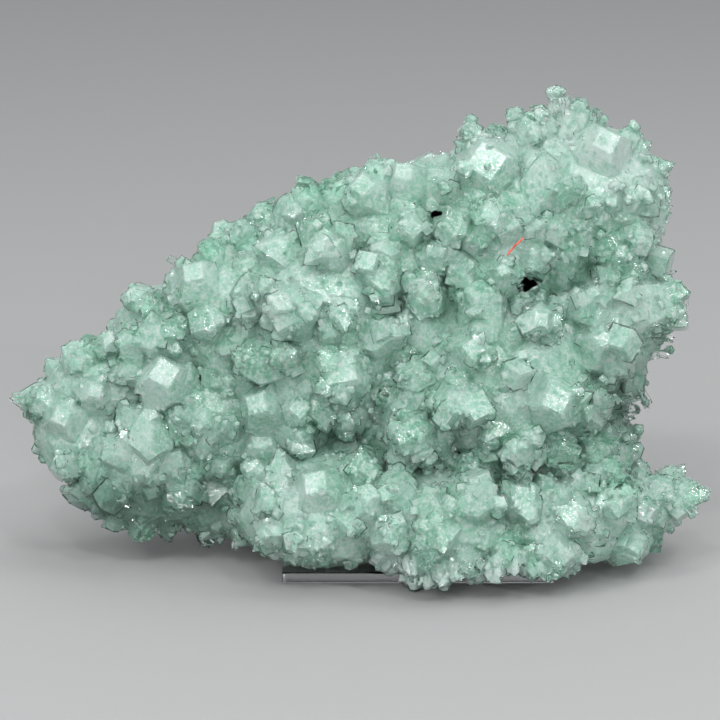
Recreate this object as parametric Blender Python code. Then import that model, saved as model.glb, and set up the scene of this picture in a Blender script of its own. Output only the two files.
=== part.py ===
"""A cluster of apophyllite crystals on a clear acrylic base plate.

Metres, +Z up; the side that is shown faces -Y. The cluster grew as a heap of
rounded rosettes, so its body is a union of ellipsoidal lobes, and every lobe
carries square crystals with four-sided points. All of it is one solid.
"""
import math
import random
from collections import namedtuple

import bmesh
import bpy
from mathutils import Matrix, Quaternion, Vector

MM = 0.001

# Base plate, in millimetres
PLATE_WIDTH = 70.0
PLATE_DEPTH = 56.0
PLATE_THICKNESS = 3.0
PLATE_FRONT_Y = -31.0
PLATE_LEFT_X = -19.0
PLATE_EDGE = 0.4
CONTACT_GAP = 0.3

# The main crystals are placed along sight lines that come down at this angle
SIGHT_ELEVATION = math.radians(15.0)
SIGHT_START = 300.0
SIGHT_MIDDLE = (10.0, 50.0)
SLIDE_STEP = 0.5

# Shape of one crystal, in half widths of its square prism
POINT_RISE = 1.25
ROOT_DEPTH = 1.6
LOBE_DETAIL = 2

# Seeded crystals between the main ones, in millimetres
SEED = 41
SPOT_AREA = 30.0
CRYSTAL_SPACING = 0.80
FACING_COUNT = 98
OTHER_COUNT = 42
FACING_HALF_WIDTHS = (4.2, 6.8)
OTHER_HALF_WIDTHS = (3.2, 5.2)
FACING_LIMIT = 0.50
LOWEST_SLOPE = -0.30
CLEAR_OF_TABLE = 6.0
SHARP_SHARE = 0.4

# Rounded lobes of the body: centre x, y, z, then radius along x, y, z
LOBES = {
    "left_end": (-71.5, -2.0, 32.0, 13.0, 14.5, 14.5),
    "left_top": (-66.0, 0.0, 44.0, 16.5, 14.5, 12.5),
    "left_low": (-56.0, -5.0, 23.0, 20.5, 17.5, 17.0),
    "left_high": (-47.0, 1.0, 55.0, 18.5, 17.0, 17.0),
    "left_valley": (-36.0, -5.0, 18.0, 15.0, 14.0, 14.5),
    "waist": (-34.0, -1.0, 38.0, 22.0, 20.0, 18.0),
    "shoulder": (-29.0, 1.0, 61.5, 21.0, 22.0, 23.0),
    "centre": (-8.0, 0.0, 60.0, 27.0, 28.0, 36.5),
    "crown": (9.5, 2.0, 80.0, 23.0, 22.0, 24.0),
    "crest": (23.0, 3.0, 91.0, 15.0, 18.0, 14.5),
    "upper_right": (36.0, 2.0, 84.0, 21.0, 22.5, 28.0),
    "saddle": (47.0, 3.0, 97.0, 14.0, 18.0, 18.0),
    "peak": (60.5, 3.0, 91.5, 21.5, 19.0, 22.5),
    "right_side": (66.0, 0.0, 65.0, 15.0, 21.0, 21.0),
    "heart": (37.0, -5.0, 48.0, 31.0, 28.0, 28.0),
    "bay_wall": (59.5, -1.0, 41.0, 10.5, 15.0, 14.0),
    "elbow": (61.0, -5.0, 28.0, 12.5, 16.5, 14.0),
    "foot_left": (-8.0, -20.0, 17.5, 25.0, 22.0, 16.0),
    "foot_middle": (21.0, -24.5, 15.0, 24.0, 21.0, 15.5),
    "foot_right": (48.0, -19.5, 14.5, 24.0, 19.5, 13.5),
    "foot_back": (12.0, 12.0, 16.0, 31.0, 15.0, 14.5),
    "arm": (73.0, -9.0, 14.0, 14.0, 11.5, 9.0),
    "arm_bulb": (71.0, -19.0, 8.0, 6.5, 6.5, 6.5),
    "back_left": (-24.0, 11.0, 44.0, 28.0, 16.0, 27.0),
    "back_middle": (16.0, 13.0, 54.0, 29.0, 18.0, 33.0),
    "back_right": (48.0, 11.0, 62.0, 23.0, 16.0, 34.0),
}

# Main crystals: x and height on the sight plane, half width, then the way the
# point leans (right, up, towards the viewer), how far it stands out in half
# widths, and how much of its point is cut flat (0 sharp, 1 blunt)
MAIN_CRYSTALS = (
    (-82.0, 39.0, 4.4, -1.0, 0.10, 0.10, 1.9, 0.05),
    (-75.0, 34.5, 6.8, -0.2, 0.10, 1.0, 0.7, 0.45),
    (-49.0, 44.5, 7.4, 0.0, 0.25, 1.0, 0.9, 0.60),
    (-53.0, 27.5, 6.2, 0.0, -0.45, 1.0, 0.9, 0.40),
    (-75.0, 23.0, 3.2, -0.4, -0.40, 1.0, 0.9, 0.35),
    (-40.5, 69.0, 7.5, -0.2, 0.60, 1.0, 0.8, 0.50),
    (-55.0, 64.0, 4.2, -0.6, 0.80, 0.5, 1.2, 0.05),
    (-37.5, 77.0, 3.6, -0.4, 1.00, 0.3, 0.9, 0.50),
    (-29.5, 81.0, 3.2, -0.2, 1.00, 0.3, 1.0, 0.40),
    (-17.0, 88.0, 4.6, -0.3, 1.00, 0.5, 0.8, 0.50),
    (-12.5, 91.0, 3.8, 0.0, 1.00, 0.2, 0.9, 0.35),
    (-4.0, 92.0, 3.2, 0.1, 1.00, 0.2, 0.9, 0.30),
    (6.0, 97.0, 3.4, -0.3, 1.00, 0.3, 0.9, 0.30),
    (12.5, 95.0, 6.6, -0.1, 0.60, 1.0, 0.7, 0.50),
    (33.5, 98.5, 7.8, -0.1, 0.25, 1.0, 0.6, 0.70),
    (31.0, 105.0, 4.4, -0.2, 1.00, 0.4, 0.9, 0.40),
    (54.0, 112.0, 6.0, -0.1, 1.00, 0.2, 1.4, 0.15),
    (63.0, 103.0, 7.6, 0.1, 0.40, 1.0, 0.7, 0.55),
    (70.5, 107.0, 3.0, 0.4, 1.00, 0.2, 1.3, 0.15),
    (54.5, 93.0, 3.4, 0.0, 0.10, 1.0, 1.2, 0.10),
    (54.5, 74.0, 3.8, 0.0, 0.00, 1.0, 1.2, 0.10),
    (66.0, 79.5, 3.4, 0.2, 0.20, 1.0, 1.2, 0.20),
    (72.0, 73.0, 3.6, 0.4, 0.10, 1.0, 1.1, 0.20),
    (37.5, 71.5, 5.4, -0.1, 0.10, 1.0, 1.0, 0.35),
    (62.0, 53.5, 7.2, 0.1, 0.20, 1.0, 0.9, 0.35),
    (50.5, 39.0, 7.2, 0.0, 0.10, 1.0, 0.8, 0.60),
    (-23.5, 37.5, 8.0, -0.3, 0.10, 1.0, 0.9, 0.45),
    (-14.5, 31.0, 5.8, 0.3, -0.20, 1.0, 0.9, 0.40),
    (2.5, 22.0, 5.2, 0.2, 0.30, 1.0, 1.0, 0.30),
    (-9.5, 17.0, 6.6, -0.2, 0.40, 1.0, 0.7, 0.60),
    (19.0, 26.0, 5.6, 0.3, 0.70, 0.7, 0.9, 0.20),
    (-22.0, 6.0, 5.0, -0.5, -0.20, 1.0, 0.9, 0.30),
    (37.0, 1.5, 5.2, 0.0, -0.20, 1.0, 0.8, 0.40),
    (51.0, 0.5, 6.4, 0.1, -0.10, 1.0, 0.7, 0.60),
    (71.0, 2.0, 5.2, 0.3, -0.10, 1.0, 0.6, 0.50),
    (84.0, 13.5, 4.4, 1.0, 0.00, 0.10, 1.5, 0.30),
    (-4.0, 47.0, 8.0, 0.0, 0.15, 1.0, 0.5, 0.70),
    (16.5, 67.5, 6.2, -0.1, 0.10, 1.0, 0.8, 0.45),
    (-7.0, 78.0, 7.0, -0.1, 0.30, 1.0, 0.6, 0.60),
    (29.5, 52.0, 6.4, 0.0, 0.10, 1.0, 0.7, 0.50),
    (32.0, 21.0, 6.0, 0.1, 0.30, 1.0, 0.8, 0.35),
    (9.0, 5.0, 5.6, 0.0, -0.10, 1.0, 0.8, 0.40),
    (22.0, -4.5, 4.6, 0.0, -0.40, 1.0, 0.8, 0.30),
    (15.0, -8.0, 3.4, -0.1, -1.00, 0.6, 1.1, 0.20),
    (47.0, 58.0, 5.0, 0.0, 0.20, 1.0, 0.9, 0.30),
    (42.0, 27.0, 5.6, 0.1, -0.20, 1.0, 0.9, 0.40),
    (-2.0, 34.0, 5.0, -0.1, -0.30, 1.0, 0.9, 0.40),
    (-35.0, 22.0, 5.2, 0.1, -0.10, 1.0, 0.8, 0.40),
    (-64.0, 53.0, 4.8, -0.5, 0.60, 0.8, 0.9, 0.35),
    (-62.0, 14.0, 4.6, -0.2, -0.50, 1.0, 0.9, 0.40),
    (-46.0, 13.5, 5.0, 0.1, -0.40, 1.0, 0.9, 0.40),
    (72.0, 91.0, 4.6, 0.4, 0.20, 1.0, 0.7, 0.40),
)

# Open pockets between crystals: x and height on the sight plane, half width,
# half height, depth below the surface
POCKETS = (
    (44.0, 69.0, 4.4, 2.8, 12.0),
    (64.5, 73.0, 4.0, 3.4, 10.0),
    (-31.5, 12.0, 3.4, 3.0, 8.0),
)
POCKET_RIM = 8.0
POCKET_SIDES = 5
POCKET_TAPER = 0.6

MINT = (0.56, 0.76, 0.66, 1.0)
CLEAR = (0.92, 0.95, 0.96, 1.0)

Crystal = namedtuple("Crystal", "foot axis spin half_width stand_out cut")


def remove_all_objects():
    """Empty the scene."""
    for thing in list(bpy.data.objects):
        bpy.data.objects.remove(thing, do_unlink=True)


def make_material(name, colour, roughness, transmission):
    """A Principled material with plain values."""
    material = bpy.data.materials.new(name)
    material.use_nodes = True
    shader = material.node_tree.nodes["Principled BSDF"]
    shader.inputs["Base Color"].default_value = colour
    shader.inputs["Roughness"].default_value = roughness
    shader.inputs["Metallic"].default_value = 0.0
    shader.inputs["Transmission Weight"].default_value = transmission
    material.diffuse_color = colour
    return material


def object_from(bm, name, material=None):
    """Turn a bmesh in millimetres into an object in metres."""
    bmesh.ops.recalc_face_normals(bm, faces=bm.faces)
    bmesh.ops.scale(bm, vec=(MM, MM, MM), verts=bm.verts)
    mesh = bpy.data.meshes.new(name)
    bm.to_mesh(mesh)
    bm.free()
    thing = bpy.data.objects.new(name, mesh)
    bpy.context.collection.objects.link(thing)
    if material is not None:
        mesh.materials.append(material)
    return thing


def as_guide(thing):
    """Mark an object as a Boolean operand that is not a part of its own."""
    thing.hide_render = True
    thing.display_type = "WIRE"


def boolean(target, operand, operation, joins_itself=False):
    """Combine two objects with the exact solver."""
    modifier = target.modifiers.new(operand.name, "BOOLEAN")
    modifier.object = operand
    modifier.operation = operation
    modifier.solver = "EXACT"
    modifier.use_self = joins_itself


def lobe_centre(lobe):
    return Vector(lobe[:3])


def lobe_radii(lobe):
    return Vector(lobe[3:])


def in_lobe_units(point, lobe):
    """A point relative to a lobe, where the lobe is the unit sphere."""
    offset = point - lobe_centre(lobe)
    radii = lobe_radii(lobe)
    return Vector((offset.x / radii.x, offset.y / radii.y, offset.z / radii.z))


def lobe_normal(point, lobe):
    """Outward normal of a lobe's surface at a point on it."""
    unit = in_lobe_units(point, lobe)
    radii = lobe_radii(lobe)
    return Vector((unit.x / radii.x, unit.y / radii.y, unit.z / radii.z)).normalized()


def sight_frame():
    """Right, up and towards-the-viewer directions of the sight lines."""
    right = Vector((1.0, 0.0, 0.0))
    up = Vector((0.0, math.sin(SIGHT_ELEVATION), math.cos(SIGHT_ELEVATION)))
    toward = Vector((0.0, -math.cos(SIGHT_ELEVATION), math.sin(SIGHT_ELEVATION)))
    return right, up, toward


def sight_hit(x, height):
    """First point of the body on the sight line through x and height."""
    right, up, toward = sight_frame()
    start = right * x + up * height + toward * SIGHT_START
    nearest = None
    for lobe in LOBES.values():
        origin = in_lobe_units(start, lobe)
        radii = lobe_radii(lobe)
        step = Vector((-toward.x / radii.x, -toward.y / radii.y, -toward.z / radii.z))
        a = step.dot(step)
        b = 2.0 * origin.dot(step)
        c = origin.dot(origin) - 1.0
        spread = b * b - 4.0 * a * c
        if spread < 0.0:
            continue
        distance = (-b - math.sqrt(spread)) / (2.0 * a)
        if nearest is None or distance < nearest:
            nearest = distance
    if nearest is None:
        return None
    return start - toward * nearest


def foot_on_body(x, height):
    """A point on the body, slid from beside the outline towards the middle if need be."""
    foot = sight_hit(x, height)
    while foot is None:
        aside = Vector((x - SIGHT_MIDDLE[0], height - SIGHT_MIDDLE[1]))
        aside -= aside.normalized() * SLIDE_STEP
        x = SIGHT_MIDDLE[0] + aside.x
        height = SIGHT_MIDDLE[1] + aside.y
        foot = sight_hit(x, height)
    return foot


def main_crystals(rng):
    """The crystals that are placed one by one."""
    right, up, toward = sight_frame()
    crystals = []
    for x, height, half_width, lean_x, lean_up, lean_out, stand_out, cut in MAIN_CRYSTALS:
        foot = foot_on_body(x, height)
        axis = (right * lean_x + up * lean_up + toward * lean_out).normalized()
        spin = rng.uniform(0.0, math.pi / 2.0)
        crystals.append(Crystal(foot, axis, spin, half_width, stand_out, cut))
    return crystals


def sphere_directions(count):
    """Evenly spread directions, along a golden-angle spiral."""
    golden_angle = math.pi * (3.0 - math.sqrt(5.0))
    for index in range(count):
        z = 1.0 - 2.0 * (index + 0.5) / count
        ring = math.sqrt(1.0 - z * z)
        turn = golden_angle * index
        yield Vector((ring * math.cos(turn), ring * math.sin(turn), z))


def hidden_in_body(point, own_name):
    """Whether a point of one lobe's surface lies inside another lobe."""
    for name, lobe in LOBES.items():
        if name != own_name and in_lobe_units(point, lobe).length < 0.97:
            return True
    return False


def crowded(point, half_width, crystals):
    """Whether a new crystal would mostly sit inside one that is there."""
    for other in crystals:
        room = CRYSTAL_SPACING * (half_width + other.half_width)
        if (point - other.foot).length < room:
            return True
    return False


def jittered(direction, amount, rng):
    """A direction turned a little at random."""
    shake = Vector((rng.gauss(0.0, 1.0), rng.gauss(0.0, 1.0), rng.gauss(0.0, 1.0)))
    return (direction + shake * amount).normalized()


def lobe_area(lobe):
    """Rough surface of a lobe, as that of a sphere of its mean radius."""
    mean_radius = sum(lobe_radii(lobe)) / 3.0
    return 4.0 * math.pi * mean_radius ** 2


def free_spots(rng):
    """Points on the outside of the body, with the outward direction at each."""
    spots = []
    for name, lobe in LOBES.items():
        radii = lobe_radii(lobe)
        for direction in sphere_directions(round(lobe_area(lobe) / SPOT_AREA)):
            unit = jittered(direction, 0.10, rng)
            point = lobe_centre(lobe) + Vector((unit.x * radii.x, unit.y * radii.y, unit.z * radii.z))
            if point.z > CLEAR_OF_TABLE and not hidden_in_body(point, name):
                spots.append((point, lobe_normal(point, lobe)))
    rng.shuffle(spots)
    return spots


def seeded_crystals(placed, rng):
    """Crystals that fill the rest of every lobe, pointing outwards."""
    toward = sight_frame()[2]
    still_wanted = {True: FACING_COUNT, False: OTHER_COUNT}
    half_widths = {True: FACING_HALF_WIDTHS, False: OTHER_HALF_WIDTHS}
    crystals = []
    for point, normal in free_spots(rng):
        facing = normal.dot(toward) > FACING_LIMIT and normal.z > LOWEST_SLOPE
        half_width = rng.uniform(*half_widths[facing])
        axis = jittered(normal, 0.22, rng)
        spin = rng.uniform(0.0, math.pi / 2.0)
        stand_out = rng.uniform(0.75, 1.15)
        cut = 0.0 if rng.random() < SHARP_SHARE else rng.uniform(0.3, 0.8)
        if still_wanted[facing] == 0 or crowded(point, half_width, placed + crystals):
            continue
        still_wanted[facing] -= 1
        crystals.append(Crystal(point, axis, spin, half_width, stand_out, cut))
    return crystals


def add_crystal(bm, crystal):
    """One square prism whose four corners are cut by the faces of its point."""
    w = crystal.half_width
    flat = crystal.cut * w
    top = crystal.stand_out * w
    tip = top + POINT_RISE * flat
    middle = tip - POINT_RISE * w
    corner = tip - 2.0 * POINT_RISE * w
    root = corner - ROOT_DEPTH * w
    rings = [
        [(-w, -w, root), (w, -w, root), (w, w, root), (-w, w, root)],
        [(-w, -w, corner), (w, -w, corner), (w, w, corner), (-w, w, corner)],
        [(0, -w, middle), (w, 0, middle), (0, w, middle), (-w, 0, middle)],
        [(0, -flat, top), (flat, 0, top), (0, flat, top), (-flat, 0, top)] if flat else [(0, 0, top)],
    ]
    turn = crystal.axis.to_track_quat("Z", "Y") @ Quaternion((0.0, 0.0, 1.0), crystal.spin)
    place = Matrix.Translation(crystal.foot) @ turn.to_matrix().to_4x4()
    base, shoulder, edge, cap = [[bm.verts.new(place @ Vector(p)) for p in ring] for ring in rings]
    bm.faces.new(reversed(base))
    if flat:
        bm.faces.new(cap)
    for side in range(4):
        after = (side + 1) % 4
        before = (side - 1) % 4
        bm.faces.new((base[side], base[after], shoulder[after], edge[side], shoulder[side]))
        point_face = [shoulder[side], edge[side]]
        point_face += [cap[side], cap[before]] if flat else cap
        point_face.append(edge[before])
        bm.faces.new(point_face)


def make_body(material):
    """The rounded lobes that the crystals stand on."""
    bm = bmesh.new()
    for lobe in LOBES.values():
        place = Matrix.Translation(lobe_centre(lobe)) @ Matrix.Diagonal(lobe_radii(lobe)).to_4x4()
        bmesh.ops.create_icosphere(bm, subdivisions=LOBE_DETAIL, radius=1.0, matrix=place)
    return object_from(bm, "crystal_cluster", material)


def make_crystals():
    """Every crystal as a closed prism, still to be joined with the body."""
    rng = random.Random(SEED)
    placed = main_crystals(rng)
    placed += seeded_crystals(placed, rng)
    bm = bmesh.new()
    for crystal in placed:
        add_crystal(bm, crystal)
    guide = object_from(bm, "grown_crystals")
    as_guide(guide)
    return guide


def make_pockets():
    """Cutters for the open pockets, narrowing inwards."""
    toward = sight_frame()[2]
    turn = toward.to_track_quat("Z", "Y").to_matrix().to_4x4()
    bm = bmesh.new()
    for x, height, half_width, half_height, depth in POCKETS:
        length = depth + POCKET_RIM
        middle = sight_hit(x, height) + toward * (POCKET_RIM - length / 2.0)
        place = Matrix.Translation(middle) @ turn
        stretch = Matrix.Diagonal((half_width, half_height, 1.0)).to_4x4()
        bmesh.ops.create_cone(bm, cap_ends=True, segments=POCKET_SIDES, radius1=POCKET_TAPER,
                              radius2=1.0, depth=length, matrix=place @ stretch)
    cutter = object_from(bm, "pocket_cutter")
    as_guide(cutter)
    return cutter


def add_box(bm, low, high):
    """A box between two corners."""
    low = Vector(low)
    high = Vector(high)
    place = Matrix.Translation((low + high) / 2.0) @ Matrix.Diagonal(high - low).to_4x4()
    bmesh.ops.create_cube(bm, size=1.0, matrix=place)


def make_rest_cutters():
    """What the cluster rests on: the table, and the plate with its gap."""
    right_x = PLATE_LEFT_X + PLATE_WIDTH
    back_y = PLATE_FRONT_Y + PLATE_DEPTH
    table = 200.0
    bm = bmesh.new()
    add_box(bm, (-table, -table, -table), (table, table, 0.0))
    cutter = object_from(bm, "table_cutter")
    as_guide(cutter)
    bm = bmesh.new()
    low = (PLATE_LEFT_X - CONTACT_GAP, PLATE_FRONT_Y - CONTACT_GAP, -PLATE_THICKNESS)
    high = (right_x + CONTACT_GAP, back_y + CONTACT_GAP, PLATE_THICKNESS + CONTACT_GAP)
    add_box(bm, low, high)
    plate_room = object_from(bm, "plate_cutter")
    as_guide(plate_room)
    return cutter, plate_room


def make_plate(material):
    """The clear base plate, with its edges eased."""
    bm = bmesh.new()
    low = (PLATE_LEFT_X, PLATE_FRONT_Y, 0.0)
    high = (PLATE_LEFT_X + PLATE_WIDTH, PLATE_FRONT_Y + PLATE_DEPTH, PLATE_THICKNESS)
    add_box(bm, low, high)
    plate = object_from(bm, "acrylic_base", material)
    bevel = plate.modifiers.new("eased_edges", "BEVEL")
    bevel.width = PLATE_EDGE * MM
    bevel.segments = 2
    return plate


def shell_from(face):
    """All faces that are joined to one face through shared edges."""
    shell = {face}
    front = [face]
    while front:
        for edge in front.pop().edges:
            for neighbour in edge.link_faces:
                if neighbour not in shell:
                    shell.add(neighbour)
                    front.append(neighbour)
    return shell


def keep_outer_shell(thing):
    """Apply the modifiers and fill the small voids that were closed in between lobes."""
    graph = bpy.context.evaluated_depsgraph_get()
    mesh = bpy.data.meshes.new_from_object(thing.evaluated_get(graph))
    thing.modifiers.clear()
    thing.data = mesh
    bm = bmesh.new()
    bm.from_mesh(mesh)
    outermost = min(bm.verts, key=lambda vert: vert.co.x)
    outer = shell_from(outermost.link_faces[0])
    bmesh.ops.delete(bm, geom=[face for face in bm.faces if face not in outer], context="FACES")
    bm.to_mesh(mesh)
    bm.free()


def centre_over_origin(pieces):
    """Move the pieces together so that the middle of their box is at x = y = 0."""
    anchor = bpy.data.objects.new("specimen_anchor", None)
    bpy.context.collection.objects.link(anchor)
    graph = bpy.context.evaluated_depsgraph_get()
    corners = []
    for piece in pieces:
        shape = piece.evaluated_get(graph)
        corners += [shape.matrix_world @ Vector(corner) for corner in shape.bound_box]
        piece.parent = anchor
    for axis in (0, 1):
        lowest = min(corner[axis] for corner in corners)
        highest = max(corner[axis] for corner in corners)
        anchor.location[axis] = -(lowest + highest) / 2.0


def build():
    remove_all_objects()
    crystal_material = make_material("apophyllite", MINT, 0.18, 0.35)
    acrylic_material = make_material("clear_acrylic", CLEAR, 0.04, 1.0)
    cluster = make_body(crystal_material)
    boolean(cluster, make_crystals(), "UNION", joins_itself=True)
    boolean(cluster, make_pockets(), "DIFFERENCE")
    for cutter in make_rest_cutters():
        boolean(cluster, cutter, "DIFFERENCE")
    keep_outer_shell(cluster)
    centre_over_origin((cluster, make_plate(acrylic_material)))


build()
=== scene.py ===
"""Looks of the apophyllite cluster: a clear crystal shell over a milky core.

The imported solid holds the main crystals. This script fills the gaps between
them, grows smaller crystals on them and joins all of it into one clear shell.
Sealed inside is a milky core that follows the same crystals. The red fibre and
the finish of the acrylic plate come last.
"""
import math
from collections import namedtuple

import bmesh
import bpy
import numpy as np
from mathutils import Matrix, Quaternion, Vector
from mathutils.bvhtree import BVHTree


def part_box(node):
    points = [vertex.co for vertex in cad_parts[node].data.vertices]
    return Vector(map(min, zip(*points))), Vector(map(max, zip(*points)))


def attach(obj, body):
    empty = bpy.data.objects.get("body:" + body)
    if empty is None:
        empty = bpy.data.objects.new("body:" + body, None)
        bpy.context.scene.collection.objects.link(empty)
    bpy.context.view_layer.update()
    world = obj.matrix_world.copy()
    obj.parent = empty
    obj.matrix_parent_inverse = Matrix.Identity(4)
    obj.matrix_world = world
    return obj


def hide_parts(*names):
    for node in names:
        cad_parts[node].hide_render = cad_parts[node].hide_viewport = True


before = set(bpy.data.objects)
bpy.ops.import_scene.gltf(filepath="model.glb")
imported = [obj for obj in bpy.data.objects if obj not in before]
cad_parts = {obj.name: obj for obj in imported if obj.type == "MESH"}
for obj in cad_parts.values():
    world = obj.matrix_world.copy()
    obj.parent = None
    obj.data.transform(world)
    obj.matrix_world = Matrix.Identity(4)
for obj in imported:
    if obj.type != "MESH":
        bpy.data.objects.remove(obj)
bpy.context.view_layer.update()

MM = 0.001

# The photograph's view: 720 pixels across, taken to look down 15 degrees. A pixel
# is 0.26 mm wide on a plane that faces the camera, a little in front of the table
# point that shows at the origin pixel.
IMAGE_SIDE = 720
PIXEL = 0.26 * MM
SIGHT_ELEVATION = math.radians(15.0)
SIGHT_ORIGIN_PIXEL = (356, 550)
SIGHT_PLANE_FORWARD = 20.0 * MM
PLATE_LEFT_FROM_ORIGIN = -19.0 * MM
PLATE_FRONT_FROM_ORIGIN = -31.0 * MM
CAMERA_DISTANCE = 0.80
SENSOR_WIDTH = 36.0

# Shape of one crystal: rise of its point per half width, and how much lower the
# point of a crystal is whose faces all lie one unit further in
POINT_RISE = 1.25
POINT_INSET = math.sqrt(2.0 * POINT_RISE ** 2 + 1.0)
# Depth of a crystal's root below its foot, in half widths, and at least
ROOT_SHARE = 1.4
LEAST_ROOT = 1.3 * MM
# Free space between added crystals and the table or the plate
KEEP_CLEAR = 0.4 * MM

SEED = 7
Growth = namedtuple("Growth", "count half_widths spacing most_open bare_share lean block_share")
# Number and half widths of the grown crystals; their spacing in half widths; the
# share of open places and of bare faces they take; how far they lean; and the
# share without a point
MEDIUM_GROWTH = Growth(1200, (1.3 * MM, 3.6 * MM), 0.6, 0.30, 0.08, 0.35, 0.2)
SMALL_GROWTH = Growth(4000, (0.4 * MM, 1.3 * MM), 0.8, 0.15, 0.30, 0.45, 0.4)
# Rays that tell how open a place is, their length, and how far above the
# surface they start
PROBE_RAYS = 14
PROBE_REACH = 9.0 * MM
PROBE_START = 0.1 * MM
CORE_PROBE_LIFT = 1.2 * MM

# How deep the milk lies below the clear surface: under the main crystals, and
# under the added ones in half widths, and at most
BODY_INSET = 0.5 * MM
MILKY_MEDIUM_SHARE = 0.80
MILKY_SMALL_SHARE = 0.93
MILKY_INSETS = (0.14, 0.36)
MOST_INSET = 0.45 * MM
PLACED_MILKY_SHARE = 0.6
PLACED_INSET = 0.3
# Keeps an inset corner from running away where faces are nearly parallel
INSET_DAMPING = 0.03
INSET_MOST_MOVE = 2.5

# Broad faces of the largest crystals, mostly left bare: column, row and radius in
# pixels
BARE_SPOTS = (
    (68, 418, 26), (168, 378, 28), (152, 445, 22), (200, 285, 28), (485, 170, 30), (595, 345, 26),
    (550, 400, 28), (265, 405, 30), (365, 465, 16), (320, 485, 24), (555, 555, 24), (630, 545, 20),
    (600, 150, 34), (629, 120, 9), (610, 245, 16), (565, 192, 12), (566, 265, 12), (405, 180, 24),
)

# Dark holes on the front: column, row, then half width, half height and depth in
# millimetres. The second is hidden in the photograph's view.
POCKETS = (
    (520, 286, 4.5, 2.7, 14.0),
    (604, 270, 2.0, 1.4, 12.0),
    (436, 214, 1.7, 0.8, 8.0),
)
# Patches crowded with grown crystals: column, row and radius in pixels
DRUSE_SPOTS = (
    (565, 112, 26), (478, 135, 22), (600, 395, 30), (632, 405, 24), (400, 575, 40), (300, 555, 40),
    (480, 580, 40), (560, 575, 35), (120, 525, 30), (200, 545, 25), (660, 200, 20), (672, 300, 18),
    (20, 410, 20), (665, 465, 20), (225, 500, 15), (640, 445, 16),
)

# Milk behind a hole's clear wall starts this deep, and its tone marks it for near-black painted shade
POCKET_WALL = 0.2 * MM
POCKET_SHADE_TONE = -1.0
POCKET_MARGIN = 0.6 * MM
POCKET_FRONT = 8.0 * MM

# Soft areas of the front that are whiter, then areas darkened as painted shade:
# column, row, half width, half height and strength
PALE_SPOTS = (
    (590, 150, 60, 45, 0.9), (660, 240, 22, 60, 0.5), (400, 575, 190, 22, 0.8), (600, 530, 60, 35, 0.5),
    (90, 415, 45, 40, 0.5), (168, 378, 34, 30, 0.4), (300, 500, 50, 30, 0.5), (670, 490, 30, 20, 0.5),
    (400, 180, 40, 25, 0.4), (250, 300, 60, 30, 0.3), (595, 345, 30, 26, 0.4), (500, 140, 25, 18, 0.4),
)
SHADE_SPOTS = (
    (130, 502, 90, 30, 1.0), (214, 495, 12, 38, 0.8), (350, 436, 32, 15, 0.7), (625, 405, 30, 28, 0.7),
    (460, 445, 22, 12, 0.4), (250, 300, 6, 20, 0.5), (297, 458, 13, 7, 0.8), (590, 270, 26, 14, 0.3),
    (440, 215, 20, 8, 0.5), (520, 296, 20, 10, 0.4), (660, 370, 14, 60, 0.4), (30, 440, 14, 30, 0.3),
)

# Clear crystals: column, row, half width, height, lean (right, up, toward) and
# cap size in half widths
CLEAR_CRYSTALS = (
    (629, 124, 3.0, 4.0, (0.2, 0.9, 0.4), 0.4), (243, 232, 3.4, 3.2, (-0.2, 0.8, 0.6), 0.5),
    (212, 250, 3.0, 3.2, (-0.3, 0.6, 0.7), 0.6), (305, 192, 4.2, 3.8, (0.0, 0.8, 0.6), 0.5),
    (337, 190, 4.4, 3.2, (0.1, 0.7, 0.7), 0.6), (376, 174, 3.8, 4.0, (0.0, 0.9, 0.4), 0.4),
    (610, 246, 3.4, 3.0, (0.1, 0.3, 0.95), 0.5), (632, 270, 3.0, 2.8, (0.3, 0.1, 0.95), 0.6),
    (565, 192, 2.8, 3.0, (0.1, 0.2, 1.0), 0.3), (566, 265, 2.6, 2.8, (0.1, -0.1, 1.0), 0.3),
    (597, 548, 3.6, 3.6, (0.1, -0.2, 0.9), 0.5), (690, 492, 2.6, 5.0, (1.0, -0.1, 0.3), 0.3),
    (630, 545, 4.6, 3.4, (0.2, -0.1, 0.95), 0.7), (454, 135, 2.2, 3.4, (-0.4, 0.9, 0.3), 0.4),
    (90, 345, 2.6, 3.0, (-0.5, 0.8, 0.3), 0.4), (140, 300, 2.4, 3.0, (-0.6, 0.8, 0.2), 0.4),
    (350, 560, 2.2, 2.6, (0.0, -0.7, 0.7), 0.5), (420, 585, 2.4, 3.0, (0.1, -0.8, 0.5), 0.3),
)
# Facets turned so that they glint, then four crystals of the crest, in the same
# order
GLINTS = (
    (358, 280, 1.2, 0.8, (-0.10, 0.28, 0.95), 0.7), (250, 348, 1.6, 0.9, (0.15, 0.25, 0.95), 0.7),
    (519, 160, 1.1, 0.8, (0.20, 0.25, 0.95), 0.7), (256, 412, 1.2, 0.8, (-0.25, 0.15, 0.95), 0.7),
    (290, 475, 1.3, 0.8, (0.0, 0.05, 1.0), 0.7), (365, 472, 1.3, 0.8, (0.25, 0.05, 0.95), 0.7),
    (275, 530, 1.6, 0.9, (-0.05, 0.15, 1.0), 0.7), (555, 500, 1.8, 0.9, (0.1, 0.2, 1.0), 0.7),
    (540, 119, 3.6, 3.6, (-0.2, 0.9, 0.4), 0.5), (578, 113, 3.8, 4.0, (0.2, 0.9, 0.4), 0.4),
    (592, 121, 3.2, 3.4, (0.3, 0.8, 0.5), 0.5), (528, 127, 3.0, 3.2, (-0.3, 0.8, 0.5), 0.5),
)
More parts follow.
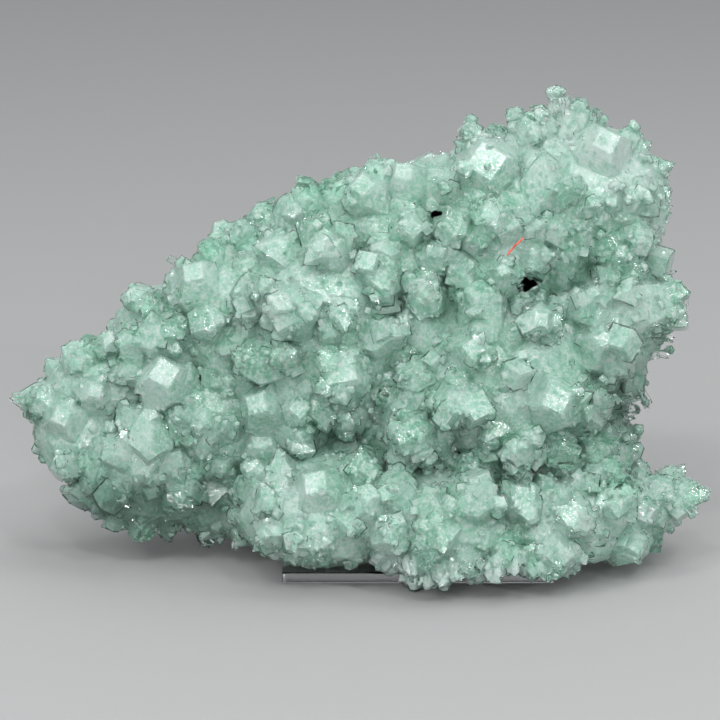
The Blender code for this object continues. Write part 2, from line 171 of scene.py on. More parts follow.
# Needles: column, row, spread in pixels, number, length and lean
NEEDLES = (
    (658, 358, 3.0, 7, 6.5, (0.9, 0.1, 0.3)), (640, 392, 3.0, 6, 6.0, (0.2, -1.0, 0.2)),
    (655, 462, 4.0, 12, 8.5, (0.85, 0.35, 0.3)), (630, 405, 6.0, 16, 3.2, (0.9, 0.1, 0.3)),
    (628, 440, 5.0, 8, 3.5, (0.6, 0.7, 0.3)), (668, 280, 5.0, 9, 3.5, (1.0, 0.1, 0.2)),
    (666, 175, 5.0, 7, 2.6, (1.0, 0.1, 0.2)), (668, 235, 6.0, 7, 2.8, (1.0, 0.0, 0.2)),
    (664, 335, 5.0, 8, 3.2, (1.0, -0.1, 0.2)), (690, 505, 4.0, 6, 3.0, (0.8, -0.5, 0.3)),
    (560, 108, 7.0, 8, 2.6, (0.0, 1.0, 0.3)), (16, 405, 5.0, 5, 2.6, (-0.8, 0.5, 0.3)),
)
# Crystals that fill the deep gaps between the largest: column, row and rise in
# half widths. At least 21 of the 51 places are the output of a program that
# compared a render with the photograph; the rises were set one by one.
FILLERS = (
    (393, 446, 2.2), (409, 441, 2.0), (374, 430, 1.8), (392, 435, 2.4), (404, 447, 2.0),
    (426, 436, 2.0), (384, 442, 1.8), (416, 430, 1.8), (502, 470, 1.3), (381, 408, 1.3),
    (246, 385, 1.1), (447, 453, 1.3), (263, 447, 1.1), (536, 475, 1.0), (453, 293, 0.9),
    (488, 458, 1.1), (347, 448, 1.2), (468, 465, 1.1), (405, 354, 1.0), (565, 467, 0.9),
    (230, 383, 0.9), (596, 449, 0.9), (562, 278, 1.2), (555, 230, 1.1), (572, 256, 1.3),
    (620, 256, 1.0), (425, 300, 0.9), (420, 400, 0.9), (300, 410, 0.9), (340, 390, 0.9),
    (478, 330, 0.9), (540, 320, 0.8), (330, 330, 0.9), (281, 356, 1.1), (560, 440, 0.9),
    (520, 450, 0.9), (620, 350, 0.9), (590, 300, 0.9), (450, 250, 0.8), (380, 250, 0.8),
    (320, 250, 0.8), (184, 329, 1.0), (391, 381, 1.2), (330, 444, 1.2), (322, 408, 1.0),
    (518, 305, 0.8), (473, 239, 1.0), (367, 474, 0.9), (248, 545, 1.0), (232, 536, 0.9),
    (283, 558, 0.9),
)
# A second layer where the first still lies deep
DEEP_FILLERS = (
    (398, 446, 1.2), (386, 437, 1.2), (410, 448, 1.2), (424, 442, 1.1), (374, 431, 1.1), (437, 437, 1.0),
    (350, 448, 0.9), (412, 436, 1.1),
)
FILLER_HALF_WIDTHS = (3.6 * MM, 5.4 * MM)
# Crystals hanging in front of the plate: columns, rows and number
HANGING_COLUMNS = (408, 562)
HANGING_ROWS = (552, 572)
HANGING_COUNT = 55
HANGING_LEAN = (0.0, -0.75, 0.65)
# Where the red fibre lies, from its lower to its upper end
FIBRE_PIXELS = ((507, 256), (509, 252), (512, 249), (514, 246), (517, 244), (520, 241), (523, 238))
FIBRE_RADIUS = 0.27 * MM
FIBRE_LIFT = 0.35 * MM

# Small bright lights that make the facets glint
SPARKS = (
    (0.35, -0.70, 0.90), (-0.75, -0.60, 0.70), (0.10, -1.10, 0.35), (0.70, -0.70, 0.45),
    (-0.20, -0.80, 1.10),
)
SPARK_SIZE = 0.09
SPARK_POWER = 2.0
WORLD_COLOUR = (0.80, 0.82, 0.84, 1.0)
WORLD_STRENGTH = 0.64
LIGHT_TARGET = (0.0, 0.0, 0.05)
FLOOR_HALF_SIDE = 3.0
FLOOR_DROP = 0.2 * MM

# A square prism with a four-sided point. Foot, axis and spin place it; top is the
# height of its flat cap or tip, flat the cap's half width, root its depth below
# the foot, tone its milkiness.
Crystal = namedtuple("Crystal", "foot axis spin half_width top flat root tone")


def sight_frame():
    """Right, up and towards-the-camera directions of the photograph's view."""
    right = Vector((1.0, 0.0, 0.0))
    up = Vector((0.0, math.sin(SIGHT_ELEVATION), math.cos(SIGHT_ELEVATION)))
    toward = Vector((0.0, -math.cos(SIGHT_ELEVATION), math.sin(SIGHT_ELEVATION)))
    return right, up, toward


def sight_origin():
    """The table point that the photograph shows at SIGHT_ORIGIN_PIXEL."""
    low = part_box("acrylic_base")[0]
    return Vector((low[0] - PLATE_LEFT_FROM_ORIGIN, low[1] - PLATE_FRONT_FROM_ORIGIN, 0.0))


def pixel_point(column, row):
    """Where one pixel's sight line meets the plane that is 0.26 mm per pixel."""
    right, up, toward = sight_frame()
    across = (column - SIGHT_ORIGIN_PIXEL[0]) * PIXEL
    height = (SIGHT_ORIGIN_PIXEL[1] - row) * PIXEL
    return sight_origin() + toward * SIGHT_PLANE_FORWARD + right * across + up * height


def camera_point():
    toward = sight_frame()[2]
    return pixel_point(IMAGE_SIDE / 2, IMAGE_SIDE / 2) + toward * CAMERA_DISTANCE


def sight_line(column, row):
    """Direction in which the camera looks at one pixel of the photograph."""
    return (pixel_point(column, row) - camera_point()).normalized()


def pixels_of(points):
    """The photograph's columns and rows where the points show."""
    right, up, toward = (np.array(axis) for axis in sight_frame())
    offset = np.asarray(points) - np.array(camera_point())
    scale = CAMERA_DISTANCE / (offset @ -toward) / PIXEL
    return IMAGE_SIDE / 2 + offset @ right * scale, IMAGE_SIDE / 2 - offset @ up * scale


def mesh_object(name, vertices, faces):
    mesh = bpy.data.meshes.new(name)
    mesh.from_pydata(vertices, [], faces)
    mesh.update()
    thing = bpy.data.objects.new(name, mesh)
    bpy.context.scene.collection.objects.link(thing)
    return thing


def evaluated_mesh(thing):
    graph = bpy.context.evaluated_depsgraph_get()
    return bpy.data.meshes.new_from_object(thing.evaluated_get(graph))


def surface_tree(thing):
    return BVHTree.FromObject(thing, bpy.context.evaluated_depsgraph_get())


def set_tone(mesh, values):
    """Writes the tone of every face, from 0 clear green to 1 milky white; below 0 it marks near-black
    painted shade in the holes.
    """
    layer = mesh.attributes.new("tone", "FLOAT", "FACE")
    layer.data.foreach_set("value", values)


def welded_copy(node_name, name):
    """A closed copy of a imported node's mesh, its split corners joined again."""
    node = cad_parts[node_name]
    bm = bmesh.new()
    bm.from_mesh(node.data)
    bm.transform(node.matrix_world)
    bmesh.ops.remove_doubles(bm, verts=bm.verts, dist=1e-7)
    bm.verts.index_update()
    vertices = [vertex.co.copy() for vertex in bm.verts]
    faces = [[vertex.index for vertex in face.verts] for face in bm.faces]
    bm.free()
    return mesh_object(name, vertices, faces)


def surface_points(mesh, count, rng):
    """Random points on a mesh, evenly by area, with the face normal at each."""
    mesh.calc_loop_triangles()
    corners = np.empty(len(mesh.vertices) * 3)
    mesh.vertices.foreach_get("co", corners)
    corners = corners.reshape(-1, 3)
    triangles = np.empty(len(mesh.loop_triangles) * 3, dtype=np.int64)
    mesh.loop_triangles.foreach_get("vertices", triangles)
    a, b, c = (corners[triangles.reshape(-1, 3)[:, i]] for i in range(3))
    normals = np.cross(b - a, c - a)
    areas = np.linalg.norm(normals, axis=1)
    normals /= np.maximum(areas, 1e-20)[:, None]
    chosen = rng.choice(len(areas), size=count, p=areas / areas.sum())
    s = np.sqrt(rng.random(count))[:, None]
    t = rng.random(count)[:, None]
    points = a[chosen] * (1.0 - s) + b[chosen] * s * (1.0 - t) + c[chosen] * s * t
    return points, normals[chosen]


def probe_directions():
    """Even directions over the half sphere around +Z."""
    golden_angle = math.pi * (3.0 - math.sqrt(5.0))
    directions = []
    for index in range(PROBE_RAYS):
        z = 1.0 - 0.9 * (index + 0.5) / PROBE_RAYS
        ring = math.sqrt(1.0 - z * z)
        turn = golden_angle * index
        directions.append(Vector((ring * math.cos(turn), ring * math.sin(turn), z)))
    return directions


def open_direction(tree, point, normal, directions):
    """Where a crystal at a point has room to grow, and how open the place is."""
    turn = normal.to_track_quat("Z", "Y")
    start = point + normal * PROBE_START
    free = Vector()
    open_count = 0
    for direction in directions:
        ray = turn @ direction
        if tree.ray_cast(start, ray, PROBE_REACH)[0] is None:
            free += ray
            open_count += 1
    if open_count == 0:
        return normal, 0.0
    return free.normalized(), open_count / len(directions)


def crystal_mesh(crystal):
    """Corners and faces of one square prism, with its corners cut by its point."""
    w = crystal.half_width
    flat = crystal.flat
    turn = crystal.axis.to_track_quat("Z", "Y") @ Quaternion((0.0, 0.0, 1.0), crystal.spin)
    square = ((-w, -w), (w, -w), (w, w), (-w, w))
    if flat >= 2.0 * w:
        local = [(x, y, -crystal.root) for x, y in square]
        local += [(x, y, crystal.top) for x, y in square]
        faces = [(3, 2, 1, 0), (4, 5, 6, 7)]
        faces += [(side, (side + 1) % 4, 4 + (side + 1) % 4, 4 + side) for side in range(4)]
        return [crystal.foot + turn @ Vector(p) for p in local], faces
    tip = crystal.top + POINT_RISE * flat
    middle = tip - POINT_RISE * w
    corner = tip - 2.0 * POINT_RISE * w
    root = min(corner - 0.2 * w, -crystal.root)
    local = [(x, y, root) for x, y in square] + [(x, y, corner) for x, y in square]
    local += [(0, -w, middle), (w, 0, middle), (0, w, middle), (-w, 0, middle)]
    if flat > 0.0:
        local += [(x * flat, y * flat, crystal.top) for x, y in ((0, -1), (1, 0), (0, 1), (-1, 0))]
    else:
        local.append((0, 0, crystal.top))
    faces = [(3, 2, 1, 0)]
    if flat > 0.0:
        faces.append((12, 13, 14, 15))
    for side in range(4):
        after = (side + 1) % 4
        before = (side - 1) % 4
        faces.append((side, after, 4 + after, 8 + side, 4 + side))
        cap = (12 + side, 12 + before) if flat > 0.0 else (12,)
        faces.append((4 + side, 8 + side) + cap + (8 + before,))
    return [crystal.foot + turn @ Vector(p) for p in local], faces


def shrunken(crystal, inset):
    """The same crystal with every face moved inwards."""
    tip = crystal.top + POINT_RISE * crystal.flat - POINT_INSET * inset
    top = min(crystal.top - inset, tip)
    flat = (tip - top) / POINT_RISE
    return crystal._replace(half_width=crystal.half_width - inset, top=top, flat=flat,
                            root=crystal.root - inset)


def ball_around(crystal):
    """Middle and radius of a ball that holds the crystal."""
    w = crystal.half_width
    corner = crystal.top + POINT_RISE * (crystal.flat - 2.0 * w)
    root = max(crystal.root, 0.2 * w - corner)
    half_length = 0.5 * (crystal.top + root)
    middle = crystal.foot + crystal.axis * (crystal.top - half_length)
    return middle, math.sqrt(half_length ** 2 + 2.0 * w * w) + 0.05 * MM


def apart_batches(crystals):
    """Groups of crystals in which none can touch another."""
    balls = [ball_around(crystal) + (crystal,) for crystal in crystals]
    balls.sort(key=lambda ball: -ball[1])
    batches = []
    for middle, radius, crystal in balls:
        for batch in batches:
            cell = batch["cell"]
            spot = tuple(int(math.floor(value / cell)) for value in middle)
            near = [other for dx in (-1, 0, 1) for dy in (-1, 0, 1) for dz in (-1, 0, 1)
                    for other in batch["grid"].get((spot[0] + dx, spot[1] + dy, spot[2] + dz), ())]
            if all((other[0] - middle).length > radius + other[1] for other in near):
                batch["grid"].setdefault(spot, []).append((middle, radius))
                batch["all"].append(crystal)
                break
        else:
            cell = 2.0 * radius
            spot = tuple(int(math.floor(value / cell)) for value in middle)
            batches.append({"cell": cell, "grid": {spot: [(middle, radius)]}, "all": [crystal]})
    return [batch["all"] for batch in batches]


def combined(base, helpers, operation):
    """The base's mesh after one Boolean with each helper, which are then removed."""
    for helper in helpers:
        modifier = base.modifiers.new(helper.name, "BOOLEAN")
        modifier.object = helper
        modifier.operation = operation
        modifier.solver = "MANIFOLD"
    mesh = evaluated_mesh(base)
    base.modifiers.clear()
    for helper in helpers:
        bpy.data.objects.remove(helper, do_unlink=True)
    return mesh


def joined_with(base, crystals):
    """A new mesh: the base joined with every crystal into one closed surface."""
    helpers = []
    for number, batch in enumerate(apart_batches(crystals)):
        vertices = []
        faces = []
        tones = []
        for crystal in batch:
            corners, sides = crystal_mesh(crystal)
            first = len(vertices)
            vertices += corners
            faces += [tuple(first + index for index in side) for side in sides]
            tones += [crystal.tone] * len(sides)
        helper = mesh_object("growth_%d" % number, vertices, faces)
        set_tone(helper.data, tones)
        helpers.append(helper)
    return combined(base, helpers, "UNION")


def in_a_pocket(point, pockets):
    """Whether a point lies in or just in front of a dark hole."""
    right, up, toward = sight_frame()
    for centre, half_width, half_height, depth in pockets:
        offset = point - centre
        across = offset.dot(right) / (half_width + POCKET_MARGIN)
        height = offset.dot(up) / (half_height + POCKET_MARGIN)
        if across * across + height * height < 1.0 and -depth < offset.dot(toward) < POCKET_FRONT:
            return True
    return False


def on_spot(point, normal, spots):
    """Whether a point that faces the camera shows inside one of the round spots."""
    if normal.dot(sight_frame()[2]) < 0.0:
        return False
    column, row = pixels_of(point)
    return any((column - x) ** 2 + (row - y) ** 2 < radius ** 2 for x, y, radius in spots)


def has_room(crystal):
    """Whether a crystal stays above the table and off the acrylic plate."""
    plate_low, plate_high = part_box("acrylic_base")
    middle, radius = ball_around(crystal)
    if middle.z - radius > plate_high[2] + KEEP_CLEAR:
        return True
    corners = np.array([tuple(corner) for corner in crystal_mesh(crystal)[0]])
    lowest = corners.min(axis=0)
    highest = corners.max(axis=0)
    apart = any(lowest[axis] > plate_high[axis] + KEEP_CLEAR
                or highest[axis] < plate_low[axis] - KEEP_CLEAR for axis in range(3))
    return bool(lowest[2] > KEEP_CLEAR and apart)


def grow(base, growth, pockets, rng):
    """Crystals on the base, mostly where it is sheltered, pointing into the open."""
    count, half_widths, spacing, most_open, bare_share, lean, block_share = growth
    tree = surface_tree(base)
    directions = probe_directions()
    points, normals = surface_points(base.data, count * 5, rng)
    crystals = []
    cell = spacing * 2.0 * half_widths[1]
    grid = {}
    for point, normal in zip(points, normals):
        if len(crystals) == count:
            break
        point = Vector(point)
        normal = Vector(normal)
        half_width = half_widths[0] + (half_widths[1] - half_widths[0]) * rng.random() ** 1.7
        spot = tuple(int(math.floor(value / cell)) for value in point)
        near = [other for dx in (-1, 0, 1) for dy in (-1, 0, 1) for dz in (-1, 0, 1)
                for other in grid.get((spot[0] + dx, spot[1] + dy, spot[2] + dz), ())]
        if any((other.foot - point).length < spacing * (other.half_width + half_width)
               for other in near):
            continue
        free, openness = open_direction(tree, point, normal, directions)
        wanted = most_open + (1.0 - openness) ** 0.7
        if on_spot(point, normal, DRUSE_SPOTS):
            wanted = 1.0
        if openness < 0.1 or rng.random() > wanted:
            continue
        if in_a_pocket(point, pockets):
            continue
        if on_spot(point, normal, BARE_SPOTS) and rng.random() > bare_share:
            continue
        shake = Vector(rng.normal(0.0, lean, 3))
        axis = (free + normal * 0.5 + shake).normalized()
        kind = rng.random()
        if kind < block_share:
            top = half_width * rng.uniform(0.2, 0.8)
            flat = 2.0 * half_width
        elif kind < 0.5 + 0.5 * block_share:
            top = half_width * rng.uniform(0.7, 1.25)
            flat = 0.0
        else:
            top = half_width * rng.uniform(0.4, 1.0)
            flat = half_width * rng.uniform(0.3, 0.75)
        root = max(ROOT_SHARE * half_width, LEAST_ROOT)
        spin = rng.uniform(0.0, math.pi / 2.0)
        crystal = Crystal(point, axis, spin, half_width, top, flat, root, rng.random())
        if has_room(crystal):
            crystals.append(crystal)
            grid.setdefault(spot, []).append(crystal)
    return crystals


def sight_direction(right_part, up_part, toward_part):
    right, up, toward = sight_frame()
    return (right * right_part + up * up_part + toward * toward_part).normalized()


def seen_point(body, column, row):
    """The first point of the body on one pixel's sight line, or None."""
    return body.ray_cast(camera_point(), sight_line(column, row))[0]


def placed_crystals(body):
    """Clear crystals, glinting facets, bunches of needles and hanging crystals."""
    rng = np.random.default_rng(SEED + 1)
    crystals = []
    for column, row, half_width, top, lean, flat in CLEAR_CRYSTALS + GLINTS:
        foot = seen_point(body, column, row)
        if foot is not None:
            axis = sight_direction(*lean)
            w = half_width * MM
            spin = rng.uniform(0.0, math.pi / 2.0)
            root = max(ROOT_SHARE * w, LEAST_ROOT)
            crystals.append(Crystal(foot, axis, spin, w, top * MM, flat * w, root, 0.6))
    for column, row, spread, count, length, lean in NEEDLES:
        for _ in range(count):
            foot = seen_point(body, column + rng.normal(0.0, spread), row + rng.normal(0.0, spread))
            if foot is None:
                continue
            axis = (sight_direction(*lean) + Vector(rng.normal(0.0, 0.22, 3))).normalized()
            w = rng.uniform(0.22, 0.42) * MM
            top = length * MM * rng.uniform(0.6, 1.0)
            spin = rng.uniform(0.0, math.pi / 2.0)
            crystals.append(Crystal(foot, axis, spin, w, top, 0.0, LEAST_ROOT, 0.9))
    for _ in range(HANGING_COUNT):
        foot = seen_point(body, rng.uniform(*HANGING_COLUMNS), rng.uniform(*HANGING_ROWS))
        if foot is None:
            continue
        axis = (sight_direction(*HANGING_LEAN) + Vector(rng.normal(0.0, 0.25, 3))).normalized()
        w = rng.uniform(1.0, 2.8) * MM
        top = rng.uniform(2.0, 6.0) * MM
        spin = rng.uniform(0.0, math.pi / 2.0)
        crystals.append(Crystal(foot, axis, spin, w, top, 0.4 * w, 2.0 * MM, 0.8))
    return [crystal for crystal in crystals if has_room(crystal)]


def filling_crystals(body, places, rng):
    """Crystals in the deep gaps of the front, turned towards the camera."""
    crystals = []
    for column, row, rise in places:
        foot = seen_point(body, column, row)
        axis = sight_direction(rng.normal(0.0, 0.3), 0.25 + rng.normal(0.0, 0.3), 1.0)
        w = rng.uniform(*FILLER_HALF_WIDTHS)
        flat = rng.choice((0.0, 0.4, 0.7)) * w
        spin = rng.uniform(0.0, math.pi / 2.0)
        crystals.append(Crystal(foot, axis, spin, w, rise * w, flat, w, rng.random()))
    return [crystal for crystal in crystals if has_room(crystal)]


def make_fibre(body):
    """The short red fibre caught on the crystals of the front."""
    spots = [seen_point(body, column, row) for column, row in FIBRE_PIXELS]
    toward = sight_frame()[2]
    lift = max(spot.dot(toward) for spot in spots) + FIBRE_LIFT
    path = [spot + toward * (lift - spot.dot(toward)) for spot in spots]
    sides = 8
    vertices = []
    for index, point in enumerate(path):
        along = (path[min(index + 1, len(path) - 1)] - path[max(index - 1, 0)]).normalized()
        across = along.cross(toward).normalized()
        thin = FIBRE_RADIUS * (0.6 if index in (0, len(path) - 1) else 1.0)
        for side in range(sides):
            angle = 2.0 * math.pi * side / sides
            vertices.append(point + (across * math.cos(angle) + toward * math.sin(angle)) * thin)
    faces = []
    for ring in range(len(path) - 1):
        for side in range(sides):
            after = (side + 1) % sides
            low = ring * sides
            faces.append((low + side, low + after, low + sides + after, low + sides + side))
    faces.append(tuple(reversed(range(sides))))
    faces.append(tuple(range(len(vertices) - sides, len(vertices))))
    fibre = mesh_object("red_fibre", vertices, faces)
    bm = bmesh.new()
    bm.from_mesh(fibre.data)
    bmesh.ops.recalc_face_normals(bm, faces=bm.faces)
    bm.to_mesh(fibre.data)
    bm.free()
    material, tree, shader, place = new_material("red_fibre")
    threads = noise(tree, place, 900.0, 2.0)
    colour = ramp(tree, threads, (0.35, (0.42, 0.05, 0.03)), (0.65, (0.75, 0.16, 0.10)))
    tree.links.new(colour, shader.inputs["Base Color"])
    shader.inputs["Roughness"].default_value = 0.6
    fibre.data.materials.append(material)
    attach(fibre, "root")


def inset_copy(thing, name, inset):
    """A copy of a faceted solid with every face moved the same depth inwards."""
    bm = bmesh.new()
    bm.from_mesh(thing.data)
    vertices = []
    for vertex in bm.verts:
        normals = []
        for face in vertex.link_faces:
            if all(face.normal.dot(other) < 0.9999 for other in normals):
                normals.append(face.normal)
        planes = np.array(normals)
        damped = planes.T @ planes + INSET_DAMPING * np.identity(3)
        move = Vector(np.linalg.solve(damped, planes.sum(axis=0)))
        if move.length > INSET_MOST_MOVE:
            move.length = INSET_MOST_MOVE
        vertices.append(vertex.co - move * inset)
    faces = [[vertex.index for vertex in face.verts] for face in bm.faces]
    bm.free()
    return mesh_object(name, vertices, faces)


def keep_largest_shell(mesh):
    """Remove every loose bit of a mesh except the largest."""
    bm = bmesh.new()
    bm.from_mesh(mesh)
    unseen = set(bm.faces)
    shells = []
    while unseen:
        face = unseen.pop()
        shell = [face]
        front = [face]
        while front:
            for edge in front.pop().edges:
                for neighbour in edge.link_faces:
                    if neighbour in unseen:
                        unseen.discard(neighbour)
                        shell.append(neighbour)
                        front.append(neighbour)
        shells.append(shell)
    shells.sort(key=len, reverse=True)
    stray = [face for shell in shells[1:] for face in shell]
    bmesh.ops.delete(bm, geom=stray, context="FACES")
    bm.to_mesh(mesh)
    bm.free()


def pocket_places(tree):
    """Each dark hole's mouth on the surface, with its half sizes and depth."""
    places = []
    for column, row, half_width, half_height, depth in POCKETS:
        hit = seen_point(tree, column, row)
        if hit is not None:
            places.append((hit, half_width * MM, half_height * MM, depth * MM))
    return places


def pocket_cutter(name, place, wall, seed):
    """A ragged lump along the sight line, from in front of the surface inwards."""
    right, up, toward = sight_frame()
    centre, half_width, half_height, depth = place
    rng = np.random.default_rng(seed)
    bm = bmesh.new()
    bmesh.ops.create_icosphere(bm, subdivisions=2, radius=1.0)
    for vertex in bm.verts:
        x, y, z = vertex.co * rng.uniform(0.7, 1.25)
        across = right * x * (half_width + wall) + up * y * (half_height + wall)
        vertex.co = centre + (across + toward * z * (depth + wall))
    mesh = bpy.data.meshes.new(name)
    bm.to_mesh(mesh)
    bm.free()
    # The cutter's tone marks the milk it cuts out for near-black painted shade
    set_tone(mesh, [POCKET_SHADE_TONE] * len(mesh.polygons))
    cutter = bpy.data.objects.new(name, mesh)
    bpy.context.scene.collection.objects.link(cutter)
    return cutter


def mark_places(thing, body):
    """Writes on every corner how open its place is, how pale, and how dark its painted shade."""
    mesh = thing.data
    directions = probe_directions()[::2]
    opens = np.empty(len(mesh.vertices), dtype=np.float32)
    points = np.empty((len(mesh.vertices), 3))
    for vertex in mesh.vertices:
        start = vertex.co + vertex.normal * CORE_PROBE_LIFT
        opens[vertex.index] = open_direction(body, start, vertex.normal, directions)[1]
        points[vertex.index] = vertex.co
    columns, rows = pixels_of(points)
    for name, spots in (("pale", PALE_SPOTS), ("shade", SHADE_SPOTS)):
        amount = np.zeros(len(points))
        for column, row, width, height, strength in spots:
            distance = ((columns - column) / width) ** 2 + ((rows - row) / height) ** 2
            amount += strength * np.exp(-distance)
        layer = mesh.attributes.new(name, "FLOAT", "POINT")
        layer.data.foreach_set("value", np.clip(amount, 0.0, 1.0).astype(np.float32))
    layer = mesh.attributes.new("openness", "FLOAT", "POINT")
    layer.data.foreach_set("value", opens)


def noise(tree, coordinates, scale, detail, roughness=0.5):
    """A noise texture on the given coordinates; returns its grey output."""
    node = tree.nodes.new("ShaderNodeTexNoise")
    node.inputs["Scale"].default_value = scale
    node.inputs["Detail"].default_value = detail
    node.inputs["Roughness"].default_value = roughness
    tree.links.new(coordinates, node.inputs["Vector"])
    return node.outputs["Fac"]


def attribute(tree, name):
    """A grey value written on the mesh."""
    node = tree.nodes.new("ShaderNodeAttribute")
    node.attribute_name = name
    return node.outputs["Fac"]


def maths(tree, operation, first, second):
    node = tree.nodes.new("ShaderNodeMath")
    node.operation = operation
    for socket, value in zip(node.inputs, (first, second)):
        if isinstance(value, bpy.types.NodeSocket):
            tree.links.new(value, socket)
        else:
            socket.default_value = value
    return node.outputs[0]


def ramp(tree, value, *stops):
    """Maps a grey value through colour stops of (position, colour)."""
    node = tree.nodes.new("ShaderNodeValToRGB")
    elements = node.color_ramp.elements
    while len(elements) < len(stops):
        elements.new(0.5)
    for element, (position, colour) in zip(elements, stops):
        element.position = position
        element.color = colour + (1.0,)
    tree.links.new(value, node.inputs["Fac"])
    return node.outputs["Color"]


def blend_colours(tree, factor, first, second):
    node = tree.nodes.new("ShaderNodeMix")
    node.data_type = "RGBA"
    sockets = [socket for socket in node.inputs if socket.enabled]
    for socket, value in zip(sockets, (factor, first, second)):
        if isinstance(value, bpy.types.NodeSocket):
            tree.links.new(value, socket)
        elif isinstance(value, tuple):
            socket.default_value = value + (1.0,)
        else:
            socket.default_value = value
    return [socket for socket in node.outputs if socket.enabled][0]


def mapped(tree, value, from_low, from_high, to_low, to_high):
    node = tree.nodes.new("ShaderNodeMapRange")
    node.inputs["From Min"].default_value = from_low
    node.inputs["From Max"].default_value = from_high
    node.inputs["To Min"].default_value = to_low
    node.inputs["To Max"].default_value = to_high
    tree.links.new(value, node.inputs["Value"])
    return node.outputs["Result"]


def bump(tree, height, strength, distance):
    node = tree.nodes.new("ShaderNodeBump")
    node.inputs["Strength"].default_value = strength
    node.inputs["Distance"].default_value = distance
    tree.links.new(height, node.inputs["Height"])
    return node.outputs["Normal"]


def new_material(name):
    material = bpy.data.materials.new(name)
    material.use_nodes = True
    tree = material.node_tree
    place = tree.nodes.new("ShaderNodeTexCoord").outputs["Object"]
    return material, tree, tree.nodes["Principled BSDF"], place


def crystal_material():
    """Clear pale-green apophyllite: plain transmission, index and absorption."""
    material, tree, shader, place = new_material("apophyllite_clear")
    shader.inputs["Base Color"].default_value = (0.97, 0.99, 0.98, 1.0)
    shader.inputs["Transmission Weight"].default_value = 1.0
    shader.inputs["IOR"].default_value = 1.535
    frost = mapped(tree, noise(tree, place, 220.0, 1.0), 0.35, 0.70, 0.01, 0.09)
    tree.links.new(frost, shader.inputs["Roughness"])
    grain = bump(tree, noise(tree, place, 700.0, 2.0, 0.6), 0.8, 0.30 * MM)
    tree.links.new(grain, shader.inputs["Normal"])
    absorption = tree.nodes.new("ShaderNodeVolumeAbsorption")
    absorption.inputs["Color"].default_value = (0.58, 0.86, 0.74, 1.0)
    absorption.inputs["Density"].default_value = 70.0
    tree.links.new(absorption.outputs["Volume"], tree.nodes["Material Output"].inputs["Volume"])
    return material


def core_material():
    """Milky apophyllite inside the shell: green clouds, white snow and veils."""
    material, tree, shader, place = new_material("apophyllite_milk")
    clouds = noise(tree, place, 80.0, 3.0, 0.6)
    tone = maths(tree, "MULTIPLY", attribute(tree, "tone"), 0.25)
    pale = maths(tree, "MULTIPLY", attribute(tree, "pale"), 0.35)
    mixed = maths(tree, "ADD", maths(tree, "ADD", tone, clouds), pale)
    colour = ramp(tree, mixed, (0.42, (0.29, 0.62, 0.46)), (0.62, (0.47, 0.76, 0.63)),
                  (0.85, (0.66, 0.85, 0.78)), (1.0, (0.77, 0.88, 0.85)))
    snow = mapped(tree, noise(tree, place, 800.0, 4.0, 0.7), 0.50, 0.60, 0.0, 0.8)
    colour = blend_colours(tree, snow, colour, (0.88, 0.95, 0.93))
    wisps = noise(tree, place, 380.0, 4.0, 0.65)
    dark = mapped(tree, wisps, 0.30, 0.46, 0.65, 0.0)
    colour = blend_colours(tree, dark, colour, (0.20, 0.50, 0.37))
    veil = ramp(tree, wisps, (0.50, (0.0, 0.0, 0.0)), (0.525, (0.9, 0.9, 0.9)), (0.55, (0.0, 0.0, 0.0)))
    colour = blend_colours(tree, veil, colour, (0.92, 0.97, 0.96))
    # Painted light: the less open a place, the more its colour is painted a pale strong green, so
    # crevices look lit and their shade green
    painted_crevice_light = mapped(tree, attribute(tree, "openness"), 0.0, 0.55, 0.5, 0.0)
    colour = blend_colours(tree, painted_crevice_light, colour, (0.52, 0.88, 0.70))
    # Painted shade: the areas listed in SHADE_SPOTS are darkened towards deep green
    shade = maths(tree, "MULTIPLY", attribute(tree, "shade"), 0.92)
    colour = blend_colours(tree, shade, colour, (0.14, 0.28, 0.22))
    # Painted shade: milk whose tone marks a hole is painted near black, standing in for the shade deep
    # inside the hole
    painted_hole_shade = mapped(tree, attribute(tree, "tone"), -0.8, -0.2, 1.0, 0.0)
    colour = blend_colours(tree, painted_hole_shade, colour, (0.02, 0.03, 0.025))
    tree.links.new(colour, shader.inputs["Base Color"])
    shader.inputs["Roughness"].default_value = 0.45
    ridges = bump(tree, noise(tree, place, 450.0, 2.0, 0.65), 0.9, 0.8 * MM)
    tree.links.new(ridges, shader.inputs["Normal"])
    return material


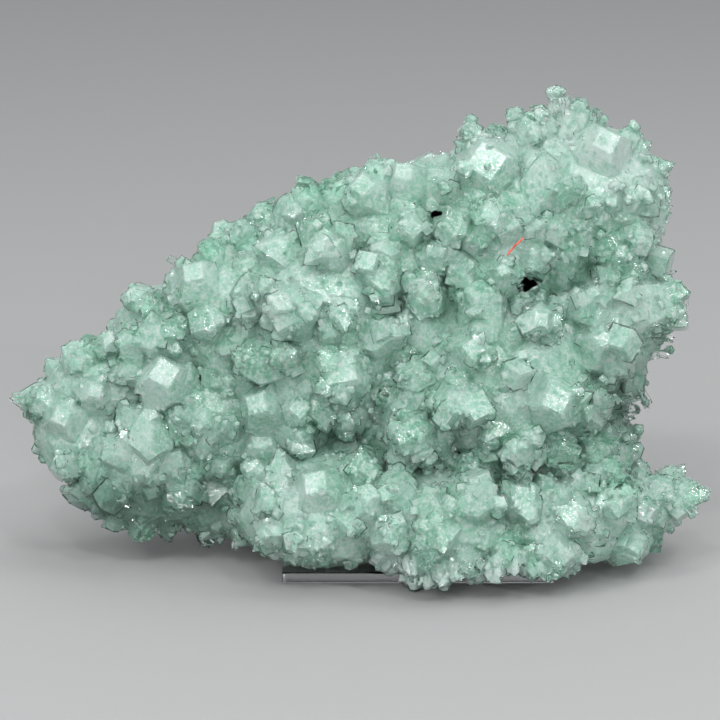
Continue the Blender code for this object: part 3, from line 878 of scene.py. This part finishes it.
def make_cluster():
    """The clear shell, the milky core inside it and the fibre."""
    rng = np.random.default_rng(SEED)
    shell = welded_copy("crystal_cluster", "crystal_shell")
    set_tone(shell.data, [0.5] * len(shell.data.polygons))
    body = surface_tree(shell)
    pockets = pocket_places(body)
    core = inset_copy(shell, "milky_core", BODY_INSET)
    set_tone(core.data, [0.5] * len(core.data.polygons))
    fillers = []
    for places in (FILLERS, DEEP_FILLERS):
        layer = filling_crystals(surface_tree(shell), places, rng)
        shell.data = joined_with(shell, layer)
        fillers += layer
    medium = grow(shell, MEDIUM_GROWTH, pockets, rng)
    shell.data = joined_with(shell, medium)
    placed = placed_crystals(surface_tree(shell))
    shell.data = joined_with(shell, placed)
    small = grow(shell, SMALL_GROWTH, pockets, rng)
    shell.data = joined_with(shell, small)
    milky = []
    shares = ((fillers, 1.0), (medium, MILKY_MEDIUM_SHARE), (small, MILKY_SMALL_SHARE))
    for crystals, share in shares:
        for crystal in crystals:
            if rng.random() < share:
                inset = min(rng.uniform(*MILKY_INSETS) * crystal.half_width, MOST_INSET)
                milky.append(shrunken(crystal, inset))
    milky += [shrunken(crystal, PLACED_INSET * crystal.half_width)
              for crystal in placed[len(CLEAR_CRYSTALS):] if rng.random() < PLACED_MILKY_SHARE]
    core.data = joined_with(core, milky)
    for thing, wall in ((shell, 0.0), (core, POCKET_WALL)):
        cutters = [pocket_cutter("pocket_%d" % number, place, wall, number)
                   for number, place in enumerate(pockets)]
        thing.data = combined(thing, cutters, "DIFFERENCE")
        keep_largest_shell(thing.data)
    mark_places(core, body)
    for piece, material in ((shell, crystal_material()), (core, core_material())):
        piece.data.materials.clear()
        piece.data.materials.append(material)
        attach(piece, "root")
    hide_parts("crystal_cluster")
    make_fibre(surface_tree(shell))


def plate_material():
    """Clear acrylic with the faint haze and fine scratches of handling."""
    material, tree, shader, place = new_material("clear_acrylic")
    shader.inputs["Base Color"].default_value = (0.985, 0.995, 0.995, 1.0)
    shader.inputs["Transmission Weight"].default_value = 1.0
    shader.inputs["IOR"].default_value = 1.49
    haze = mapped(tree, noise(tree, place, 150.0, 4.0), 0.40, 0.70, 0.015, 0.08)
    tree.links.new(haze, shader.inputs["Roughness"])
    stretch = tree.nodes.new("ShaderNodeMapping")
    stretch.inputs["Rotation"].default_value = (0.0, 0.0, 0.5)
    stretch.inputs["Scale"].default_value = (60.0, 4000.0, 4000.0)
    tree.links.new(place, stretch.inputs["Vector"])
    scratches = bump(tree, noise(tree, stretch.outputs["Vector"], 1.0, 2.0), 0.15, 0.01 * MM)
    tree.links.new(scratches, shader.inputs["Normal"])
    return material


def make_stage():
    """A plain grey floor."""
    side = FLOOR_HALF_SIDE
    square = ((-side, -side), (side, -side), (side, side), (-side, side))
    corners = [(x, y, -FLOOR_DROP) for x, y in square]
    floor = mesh_object("floor", corners, [(0, 1, 2, 3)])
    material = bpy.data.materials.new("pale_floor")
    material.use_nodes = True
    shader = material.node_tree.nodes["Principled BSDF"]
    shader.inputs["Base Color"].default_value = (0.34, 0.34, 0.34, 1.0)
    shader.inputs["Roughness"].default_value = 0.7
    floor.data.materials.append(material)


def area_light(name, place, size, power):
    """A square light of a side in metres and a power in watts, aimed at the cluster."""
    data = bpy.data.lights.new(name, "AREA")
    data.shape = "SQUARE"
    data.size = size
    data.energy = power
    light = bpy.data.objects.new(name, data)
    light.location = place
    light.rotation_mode = "QUATERNION"
    light.rotation_quaternion = (Vector(place) - Vector(LIGHT_TARGET)).to_track_quat("Z", "Y")
    bpy.context.scene.collection.objects.link(light)


def make_lights():
    world = bpy.context.scene.world or bpy.data.worlds.new("studio")
    bpy.context.scene.world = world
    world.use_nodes = True
    background = world.node_tree.nodes["Background"]
    background.inputs["Color"].default_value = WORLD_COLOUR
    background.inputs["Strength"].default_value = WORLD_STRENGTH
    area_light("key", (-0.45, -0.95, 0.95), 1.5, 11.5)
    area_light("top", (0.35, 0.10, 1.15), 0.9, 5.5)
    for number, place in enumerate(SPARKS):
        area_light("spark_%d" % number, place, SPARK_SIZE, SPARK_POWER)


def make_camera():
    right, up, toward = sight_frame()
    data = bpy.data.cameras.new("camera")
    data.sensor_width = SENSOR_WIDTH
    data.lens = SENSOR_WIDTH * CAMERA_DISTANCE / (IMAGE_SIDE * PIXEL)
    data.clip_start = 0.01
    camera = bpy.data.objects.new("camera", data)
    camera.location = camera_point()
    camera.rotation_mode = "QUATERNION"
    camera.rotation_quaternion = Matrix((right, up, toward)).transposed().to_quaternion()
    bpy.context.scene.collection.objects.link(camera)
    bpy.context.scene.camera = camera


make_camera()
make_stage()
make_lights()
make_cluster()
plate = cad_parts["acrylic_base"]
plate.data.materials.clear()
plate.data.materials.append(plate_material())
bpy.context.scene.view_settings.view_transform = "Standard"
